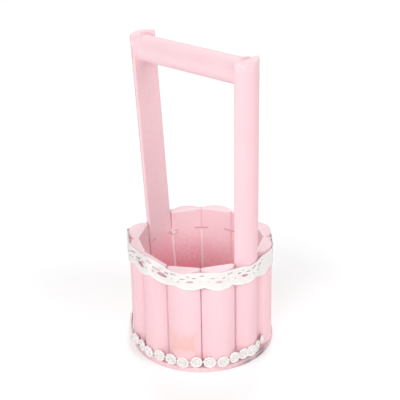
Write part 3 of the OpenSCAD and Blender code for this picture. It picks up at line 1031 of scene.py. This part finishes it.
laceValues = dict(
    scallops=16,
    patternStart=5.8 * mm,   # from the line's start to the first corner between scallops
    cell=0.42 * mm,
    stripHeight=12 * mm,
    scallopDrop=2.5 * mm,
    thickness=0.42 * mm,
    topDrop=0.8 * mm,        # the middle of the top edge, below the rim
    tilt=3.4,
    highSide=220.0,
    lineHeights=(72 * mm, 92 * mm),
    leaf=(7.2 * mm, 2.4 * mm),
    leafPlace=(0.52, 7.3 * mm),
    slits=(                  # share of a scallop, depth, length, height, slope in degrees
        (-0.04, 2.4 * mm, 3.8 * mm, 0.8 * mm, 8),
        (0.28, 4.6 * mm, 4.8 * mm, 0.95 * mm, 0),
        (0.66, 4.3 * mm, 3.8 * mm, 0.95 * mm, -5),
        (0.87, 2.8 * mm, 3.2 * mm, 0.75 * mm, -8),
        (0.44, 2.9 * mm, 2.6 * mm, 0.65 * mm, 0),
        (0.14, 7.4 * mm, 1.6 * mm, 0.8 * mm, 25),
        (0.88, 7.2 * mm, 1.5 * mm, 0.8 * mm, -20),
    ),
    jitter=0.35 * mm,
    holeSpan=6 * mm,         # how far along the line a hole and its cord are felt
    selvedge=1.2 * mm,       # width of the thick top edge
    border=1.9 * mm,         # width of the thick scalloped edge
    relief=0.3 * mm,
    stitchPitch=1.15 * mm,   # along the thick edges
    ribPitch=0.95 * mm,      # of the plain ground
    cord=(0.4 * mm, 0.35 * mm),  # round each hole: its distance and its width
    flower=(5.9 * mm, 1.75 * mm, 0.6 * mm, 0.65 * mm),  # depth, ring, its width, middle
    seam=(18 * mm, 31 * mm),  # where the two ends overlap, along the line
    seamLift=0.35 * mm,
    loose=0.12 * mm,         # the least distance of the cloth from its line
    waveScale=(90, 60),      # how quickly it waves along and down, per metre
    wander=(                 # side in degrees, how far the top edge strays upwards in mm
        (-172, -6.6), (-160, -5.8), (-153, -3.8), (-146, -1.7), (-140, -0.6), (-130, -1.2),
        (-118, -0.4), (-104, 0.4), (-97, 1.4), (-90, 2.5), (-84, 2.1), (-77, 0.9), (-70, -0.7),
        (-60, -1.3), (-52, -0.4), (-45, 0.5), (-36, 1.0), (-24, 1.1), (-12, 1.4), (-3, 0.35),
        (4, 0.7), (12, 2.0), (24, 2.3), (34, 2.9), (45, 1.2), (62, -1.5), (100, -1.4),
        (136, -1.9), (160, -2.4)),
    wanderLow=(              # and its scalloped edge
        (-165, -3.4), (-145, -1.4), (-130, -0.4), (-90, 0.75), (-60, -0.4), (-24, 0.3), (4, 0.2),
        (15, -0.4), (24, 0.8), (34, 2.2), (45, 1.5), (62, -0.9), (100, -0.5), (136, -0.6)),
    openness=(               # how wide the holes stand open
        (-165, 1.3), (-120, 1.6), (-95, 1.45), (-75, 1.0), (-60, 0.8), (-45, 0.75), (-30, 0.8),
        (-12, 1.0), (12, 1.15), (35, 1.1), (90, 0.9)),
    # how far it stands off in mm, and how far it leans in over the rim
    standOff=((-170, 0.2), (-140, 0.5), (-105, 0.15), (-80, 0.0), (160, 0.0)),
    curl=((-158, 0.0), (-130, 1.6), (-95, 2.1), (-75, 1.5), (-60, 0.0), (160, 0.0)),
    curlHeights=(-1 * mm, 4 * mm),
    seed=7,
)


def ridge(distance, width):
    return math.exp(-(distance / width) ** 2)


def ripple(u, pitch):
    return 0.5 + 0.5 * math.cos(2 * math.pi * u / pitch)


class LacePattern:
    # the flat drawing of the band: u runs along it and d down from its top edge
    def __init__(self, values, length):
        self.values = values
        self.length = length
        self.drop = values["stripHeight"] + values["scallopDrop"]
        self.scallop = length / values["scallops"]
        half = self.scallop / 2
        self.arcRadius = (half ** 2 + values["scallopDrop"] ** 2) / 2 / values["scallopDrop"]
        leafLength, leafHeight = values["leaf"]
        self.leafRadius = ((leafLength / 2) ** 2 + (leafHeight / 2) ** 2) / leafHeight
        self.leafRise = self.leafRadius - leafHeight / 2
        self.holes = {}
        chance = random.Random(values["seed"])
        jitter = values["jitter"]
        for n in range(values["scallops"]):
            share, depth = values["leafPlace"]
            self.addHole("leaf", n + share, depth, chance, (0, 0), 0)
            for share, depth, long, tall, slope in values["slits"]:
                size = (long * chance.uniform(0.82, 1.1) / 2, tall * chance.uniform(0.8, 1.15) / 2)
                self.addHole("slit", n + share, depth + chance.uniform(-jitter, jitter) * 0.5,
                             chance, size, slope + chance.uniform(-4, 4))

    def addHole(self, kind, share, depth, chance, size, slope):
        jitter = self.values["jitter"]
        u = share * self.scallop + self.values["patternStart"] + chance.uniform(-jitter, jitter)
        u %= self.length
        side = 360 * u / self.length - math.degrees(stepAngle) / 2
        opening = alongSide(self.values["openness"], (side + 180) % 360 - 180)
        low, high = self.values["seam"]
        if low - 2 * mm < u < high + 2 * mm:
            return
        turn = math.radians(slope)
        hole = (kind, u, depth, size[0] * opening, size[1] * opening, math.cos(turn),
                math.sin(turn), opening)
        # listed under every whole mm that it can reach
        span = self.values["holeSpan"]
        for whole in range(int((u - span) / mm), int((u + span) / mm) + 1):
            self.holes.setdefault(whole % round(self.length / mm), []).append(hole)

    def lowerReach(self, u, d):
        # distance up from the scalloped edge
        fromMiddle = (u - self.values["patternStart"]) % self.scallop - self.scallop / 2
        inScallop = self.arcRadius - math.hypot(fromMiddle, d - (self.drop - self.arcRadius))
        return max(self.values["stripHeight"] - d, inScallop)

    def holeReach(self, u, d):
        nearest = 1.0
        for kind, centre, depth, a, b, cosine, sine, opening in self.holes.get(
                int(u / mm) % round(self.length / mm), []):
            du = (u - centre + self.length / 2) % self.length - self.length / 2
            dd = d - depth
            if kind == "leaf":
                du, dd = du / opening, dd / opening
                far = max(math.hypot(du, dd - self.leafRise), math.hypot(du, dd + self.leafRise))
                out = (far - self.leafRadius) * opening
            else:
                along, across = du * cosine + dd * sine, dd * cosine - du * sine
                out = math.hypot(max(0.0, abs(along) - (a - b)), across) - b
            nearest = min(nearest, out)
        return nearest

    def inside(self, u, d):
        return min(self.lowerReach(u, d), d, self.holeReach(u, d))

    def relief(self, u, d):
        # how far the threads stand up at a point, from 0 to about 1
        values = self.values
        lower, hole = self.lowerReach(u, d), self.holeReach(u, d)
        edge = ridge(d - values["selvedge"] / 2, values["selvedge"] * 0.55)
        border = ridge(lower - values["border"] / 2, values["border"] * 0.55)
        stitch = ripple(u, values["stitchPitch"])
        cordPlace, cordWidth = values["cord"]
        cord = ridge(hole - cordPlace, cordWidth)
        # a little flower stands over each corner between the scallops
        depth, ringPlace, ringWidth, middle = values["flower"]
        du = (u - values["patternStart"] + self.scallop / 2) % self.scallop - self.scallop / 2
        away, angle = math.hypot(du, d - depth), math.atan2(d - depth, du)
        petals = ridge(away - ringPlace, ringWidth) * (0.75 + 0.25 * math.cos(5 * angle))
        petals += 0.9 * ridge(away, middle)
        ground = 0.18 * ripple(u, values["ribPitch"])
        return min(1.15, max(0.55 * edge, border * (0.72 + 0.28 * stitch), 0.75 * cord, petals,
                             ground))


def makeLace(values):
    lowHeight, highHeight = values["lineHeights"]
    highLine = TautLine(highHeight, 0, ring["places"] - 1)
    lowLine = TautLine(lowHeight, 0, ring["places"] - 1)
    length = highLine.length
    pattern = LacePattern(values, length)
    drop = pattern.drop
    columns = round(length / values["cell"] / 2) * 2
    rows = round(drop / values["cell"])
    bm = bmesh.new()
    bmesh.ops.create_grid(bm, x_segments=columns, y_segments=rows, size=0.5)
    bmesh.ops.transform(bm, verts=bm.verts, matrix=Matrix.Diagonal((length, drop, 1, 1))
                        @ Matrix.Translation((0.5, -0.5, 0)))
    middles = [(f, f.calc_center_median()) for f in bm.faces]
    waste = [f for f, middle in middles if pattern.inside(middle.x, -middle.y) < 0]
    bmesh.ops.delete(bm, geom=waste, context="FACES")
    # draw the stepped edges onto the true outlines
    step = 0.02 * mm
    for v in bm.verts:
        onSeam = v.co.x < step or v.co.x > length - step
        if not v.is_boundary or onSeam:
            continue
        for _ in range(3):
            u, d = v.co.x, -v.co.y
            here = pattern.inside(u, d)
            slope = Vector((pattern.inside(u + step, d) - here,
                            pattern.inside(u, d + step) - here)) / step
            size = slope.length
            if size < 0.2:
                break
            pull = slope / size * max(-0.3 * mm, min(0.3 * mm, here))
            v.co.x -= pull.x
            v.co.y += pull.y
    uv = bm.loops.layers.uv.new("cloth")
    for f in bm.faces:
        for loop in f.loops:
            loop[uv].uv = (loop.vert.co.x / mm, loop.vert.co.y / mm)
    flatArea = sum(f.calc_area() for f in bm.faces)
    # wrap it round the crests
    rise = apothem * 1.2 * math.tan(math.radians(values["tilt"]))
    seamStart, seamEnd = values["seam"]
    curlStart, curlEnd = (rimHeight + h for h in values["curlHeights"])
    waveAlong, waveDown = values["waveScale"]
    paintedShadeLayer = bm.verts.layers.float.new("deep")
    for v in bm.verts:
        u, d = v.co.x, -v.co.y
        raised = pattern.relief(u, d)
        # painted shade in the hollows between the raised threads
        v[paintedShadeLayer] = 1 - min(1.0, raised)
        share, part = u / length, d / drop
        (highSpot, highOut), (lowSpot, lowOut) = highLine.at(share), lowLine.at(share)
        side = sideOf(highSpot)
        height = rimHeight - values["topDrop"] - d
        height += rise * math.cos(math.radians(side - values["highSide"]))
        stray, strayLow = alongSide(values["wander"], side), alongSide(values["wanderLow"], side)
        height += (stray + (strayLow - stray) * part) * mm
        lift = (height - lowHeight) / (highHeight - lowHeight)
        spot = lowSpot.lerp(highSpot, lift)
        out = lowOut.lerp(highOut, lift).normalized()
        wave = noise.noise(Vector((u * waveAlong, d * waveDown, 3.3)))
        push = values["loose"] * (1 + (1 + wave) * (0.4 + part)) + values["relief"] * raised
        push += alongSide(values["standOff"], side) * mm
        push += values["seamLift"] * (easedStep(u, seamStart - 0.3 * mm, seamStart + 0.3 * mm)
                                      - easedStep(u, seamEnd - 0.3 * mm, seamEnd + 0.3 * mm))
        push -= alongSide(values["curl"], side) * mm * easedStep(height, curlStart, curlEnd)
        v.co = Vector((*(spot + out * push), height))
    bmesh.ops.remove_doubles(bm, verts=bm.verts, dist=0.01 * mm)
    bmesh.ops.recalc_face_normals(bm, faces=bm.faces)
    first = bm.faces[:][0]
    if first.normal.dot(first.calc_center_median() * Vector((1, 1, 0))) < 0:
        bmesh.ops.reverse_faces(bm, faces=bm.faces)
    piece = makePiece("lace_cloth", bm, laceCotton, ["lace_band"], sharpAngle=80)
    giveWall(piece, values["thickness"])


makeLace(laceValues)
report("lace made")


# trim: small crocheted flowers on a thread

trimValues = dict(
    baseLift=0.6 * mm,
    rosette=9.8 * mm,
    pitch=10.2 * mm,
    petals=10,
    outerRing=(0.95 * mm, 3.95 * mm, 0.98 * mm),  # height, radius and thread
    innerRing=(1.15 * mm, 2.05 * mm, 0.6 * mm),
    puff=0.2,                # how much the outer ring swells at each petal
    web=(0.55 * mm, 0.7 * mm, 0.5 * mm),  # its height, thickness and taper
    button=1.1 * mm,
    shade=(0.8 * mm, 1.6 * mm),  # painted shade up to the first height, none from the second
    thread=0.55 * mm,
    tuck=45.0,
    firstPlace=2,
    lastPlace=12,
    start=8.1 * mm,
    evenCount=27,
    standOff=(               # side in degrees, distance in mm
        (-175, 0.3), (-160, 1.0), (-140, 1.6), (-122, 0.9), (-100, 0.2), (-60, 0.0), (60, 0.0)),
    lastSpots=(286.9 * mm, 294.4 * mm, 301.7 * mm),  # crowded together at the end
    # the very last one hangs loose and is seen from its edge
    tail=dict(side=14.0, radius=54.0 * mm, height=12.0 * mm, facing=32.0, size=0.8),
    heightStray=0.25 * mm,   # each flower sits a little off, slants and differs in size
    slantStray=5.0,
    sizes=(0.96, 1.02),
    threadSteps=200,
    mapRadius=57,            # the cloth's map runs round at this radius, in mm
    seed=11,
)


def loopOfThread(bm, height, radius, thread, steps, sides, bumps=0, puff=0.0):
    # a closed ring of thread, spun from a small circle
    start = bmesh.ops.create_circle(
        bm, cap_ends=False, radius=thread, segments=sides,
        matrix=Matrix.Translation((radius, 0, 0)) @ Matrix.Rotation(math.pi / 2, 4, "X"))
    edges = once(e for v in start["verts"] for e in v.link_edges)
    before = set(bm.verts) - set(start["verts"])
    bmesh.ops.spin(bm, geom=start["verts"] + edges, cent=(0, 0, 0), axis=(0, 0, 1),
                   angle=2 * math.pi, steps=steps, use_merge=True)
    for v in bm.verts:
        if v in before:
            continue
        angle = math.atan2(v.co.y, v.co.x)
        middle = Vector((*polar(radius, angle), 0))
        v.co = middle + (v.co - middle) * (1 + puff * math.cos(bumps * angle))
        v.co.z += height


def makeRosette(values):
    bm = bmesh.new()
    paintedShadeLayer = bm.verts.layers.float.new("deep")
    loopOfThread(bm, *values["outerRing"], values["petals"] * 5, 6, values["petals"],
                 values["puff"])
    loopOfThread(bm, *values["innerRing"], 20, 5)
    # a flat web fills the flower, and a button closes its middle
    height, thickness, taper = values["web"]
    outside = values["outerRing"][1]
    web = bmesh.ops.create_cone(bm, cap_ends=True, segments=24, radius1=outside,
                                radius2=outside - taper, depth=thickness,
                                matrix=Matrix.Translation((0, 0, height)))
    bmesh.ops.create_uvsphere(bm, u_segments=12, v_segments=7, radius=values["button"],
                              matrix=Matrix.Translation((0, 0, values["innerRing"][0]))
                              @ Matrix.Diagonal((1, 1, 0.75, 1)))
    bmesh.ops.recalc_face_normals(bm, faces=bm.faces)
    # painted shade low down in the flower and over its web
    for v in bm.verts:
        v[paintedShadeLayer] = 1 - easedStep(v.co.z, *values["shade"])
    for v in web["verts"]:
        v[paintedShadeLayer] = 1.0
    mesh = bpy.data.meshes.new("rosette")
    bm.to_mesh(mesh)
    bm.free()
    return mesh


def threadStands(spots):
    # a stand at each point, its circle square to the way there
    for before, spot, after in zip(spots[:1] + spots, spots, spots[1:] + spots[-1:]):
        way = (after - before).to_track_quat("Z", "Y").to_matrix().to_4x4()
        yield Matrix.Translation(spot) @ way


def makeTrim(values):
    centreHeight = discTop + values["baseLift"] + values["rosette"] / 2
    line = TautLine(centreHeight + values["rosette"] / 2, values["firstPlace"],
                    values["lastPlace"], math.radians(values["tuck"]))
    places = [values["start"] + (n + 0.5) * values["pitch"] for n in range(values["evenCount"])]
    places += values["lastSpots"]
    spots = []
    for place in places:
        point, out = line.at(place / line.length)
        point = point + out * alongSide(values["standOff"], sideOf(point)) * mm
        spots.append((point, math.atan2(out.y, out.x), centreHeight, 1.0))
    tail = values["tail"]
    tailPoint = polar(tail["radius"], math.radians(tail["side"]))
    spots.append((tailPoint, math.radians(tail["facing"]), tail["height"], tail["size"]))
    flower = makeRosette(values)
    chance = random.Random(values["seed"])
    bm = bmesh.new()
    bm.verts.layers.float.new("deep")
    stray, slant = values["heightStray"], values["slantStray"]
    for point, angle, height, size in spots:
        spot = (Matrix.Translation((point.x, point.y, height + chance.uniform(-stray, stray)))
                @ Matrix.Rotation(angle, 4, "Z") @ Matrix.Rotation(math.pi / 2, 4, "Y")
                @ Matrix.Rotation(math.radians(chance.uniform(-slant, slant)), 4, "X")
                @ Matrix.Rotation(chance.uniform(0, math.pi), 4, "Z")
                @ Matrix.Scale(chance.uniform(*values["sizes"]) * size, 4))
        before = len(bm.verts)
        bm.from_mesh(flower)
        bm.verts.ensure_lookup_table()
        bmesh.ops.transform(bm, matrix=spot, verts=bm.verts[before:])
    # the thread that carries them
    path = []
    start = values["start"] / line.length
    for n in range(values["threadSteps"] + 1):
        point, out = line.at(start + (1 - start) * n / values["threadSteps"])
        lift = values["thread"] + alongSide(values["standOff"], sideOf(point)) * mm
        path.append(Vector((*(point + out * lift), centreHeight)))
    tailStart = path[-1]
    tailEnd = Vector((*tailPoint, tail["height"]))
    path += [tailStart.lerp(tailEnd, n / 4) for n in range(1, 5)]
    addTube(bm, threadStands(path), [values["thread"]] * len(path), 6)
    bmesh.ops.recalc_face_normals(bm, faces=bm.faces)
    uv = bm.loops.layers.uv.new("cloth")
    for f in bm.faces:
        for loop in f.loops:
            co = loop.vert.co
            loop[uv].uv = (math.atan2(co.y, co.x) * values["mapRadius"], co.z / mm)
    makePiece("rosette_flowers", bm, trimCotton, ["rosette_trim"], sharpAngle=60)


makeTrim(trimValues)
report("trim made")


# sticker: a bare film with round corners, bent round one crest

labelValues = dict(
    place=10,
    width=25 * mm,
    corner=2.2 * mm,
    gap=0.3 * mm,
    thickness=0.12 * mm,
    grid=1 * mm,
    tintEdges=(0.5 * mm, 6 * mm),  # no tint up to the first distance, all of it from the second
    topShare=0.6,            # the tint starts further in at the top
    cloud=2.5 * mm,          # its edge wavers by as much as this
    cloudScale=190,          # how quickly it wavers, per metre
    ripple=0.04 * mm,        # how far the film stands off here and there
    rippleScale=220,
)


def makeLabel(values):
    low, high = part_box("label")
    height = high.z - low.z
    depth = stickAt[values["place"]][0]
    radius = ring["crestRadius"] + values["gap"]
    bm = bmesh.new()
    bmesh.ops.create_grid(bm, x_segments=round(values["width"] / values["grid"]),
                          y_segments=round(height / values["grid"]), size=0.5)
    bmesh.ops.scale(bm, verts=bm.verts, vec=(values["width"], height, 1))
    halfW, halfH, corner = values["width"] / 2, height / 2, values["corner"]
    tint = []
    for v in bm.verts:
        fromTop = (halfH - v.co.y) * values["topShare"]
        fromEdge = min(halfW - abs(v.co.x), v.co.y + halfH, fromTop)
        cloud = noise.noise(Vector((v.co.x, v.co.y, 0.4)) * values["cloudScale"])
        tint.append(easedStep(fromEdge + cloud * values["cloud"], *values["tintEdges"]))
        # pull the corners in to a round
        dx, dy = abs(v.co.x) - (halfW - corner), abs(v.co.y) - (halfH - corner)
        if dx > 0 and dy > 0:
            shrink = max(dx, dy) / math.hypot(dx, dy)
            v.co.x = math.copysign(halfW - corner + dx * shrink, v.co.x)
            v.co.y = math.copysign(halfH - corner + dy * shrink, v.co.y)
    crest = apothem + depth - ring["crestRadius"]
    spread = Matrix.Rotation(stepAngle * values["place"], 4, "Z")
    for v in bm.verts:
        bend = v.co.x / radius
        wave = noise.noise(Vector((v.co.x, v.co.y, 0)) * values["rippleScale"])
        here = radius + wave * values["ripple"]
        place = Vector((crest + here * math.cos(bend), here * math.sin(bend),
                        (low.z + high.z) / 2 + v.co.y))
        v.co = spread @ place
    bmesh.ops.recalc_face_normals(bm, faces=bm.faces)
    piece = makePiece("label_film", bm, filmMaterial, ["label"], sharpAngle=80)
    storeMasks(piece, tint=tint)
    giveWall(piece, values["thickness"])


makeLabel(labelValues)
report("label made")


# floor, world and lamps

studio = dict(
    ambient=0.21,
    lamps=dict(              # place in metres, size, power
        leftLamp=((-0.27, -1.71, 1.1), 1.0, 8.6),
        frontLeftLamp=((0.62, -1.62, 1.1), 1.0, 13.9),
        frontRightLamp=((1.64, -0.57, 1.1), 1.0, 4.6),
        rightLamp=((1.7, 0.33, 1.1), 1.0, 13.8),
        backLamp=((-0.92, 0.89, 1.63), 1.0, 16.2),
    ),
    floorLift=0.19,          # the floor is seen a little lighter than it is lit
)


def makeFloor(values):
    bm = bmesh.new()
    bmesh.ops.create_grid(bm, x_segments=4, y_segments=4, size=6)
    mesh = bpy.data.meshes.new("floor")
    bm.to_mesh(mesh)
    bm.free()
    floor = bpy.data.objects.new("floor", mesh)
    bpy.context.scene.collection.objects.link(floor)
    material, tree, shader = newMaterial("paleFloor")
    rays = tree.nodes.new("ShaderNodeLightPath").outputs
    setInputs(shader, Base_Color=(0.93, 0.93, 0.93, 1), Roughness=0.9, Specular_IOR_Level=0.1,
              Emission_Color=(1, 1, 1, 1),
              Emission_Strength=times(tree, rays["Is Camera Ray"], values["floorLift"]))
    mesh.materials.append(material)


def makeWorld(values):
    world = bpy.data.worlds.new("paleStudio")
    bpy.context.scene.world = world
    world.use_nodes = True
    tree = world.node_tree
    rays = tree.nodes.new("ShaderNodeLightPath").outputs
    seen = calc(tree, "MAXIMUM", rays["Is Camera Ray"], rays["Is Glossy Ray"])
    seen = calc(tree, "MAXIMUM", seen, rays["Is Transmission Ray"])
    strength = addNode(tree, "ShaderNodeMix", 0, i0=seen, i2=values["ambient"], i3=1.0)
    setInputs(tree.nodes["Background"], Color=(1, 1, 1, 1), Strength=strength)


def makeLamp(name, place, size, power):
    data = bpy.data.lights.new(name, "AREA")
    data.size = size
    data.energy = power
    lamp = bpy.data.objects.new(name, data)
    lamp.location = place
    lamp.rotation_euler = (Vector((0, 0, 0.1)) - Vector(place)).to_track_quat("-Z", "Y").to_euler()
    bpy.context.scene.collection.objects.link(lamp)


makeFloor(studio)
makeWorld(studio)
for name, facts in studio["lamps"].items():
    makeLamp(name, *facts)
bpy.context.scene.view_settings.view_transform = "Standard"
report("studio made")
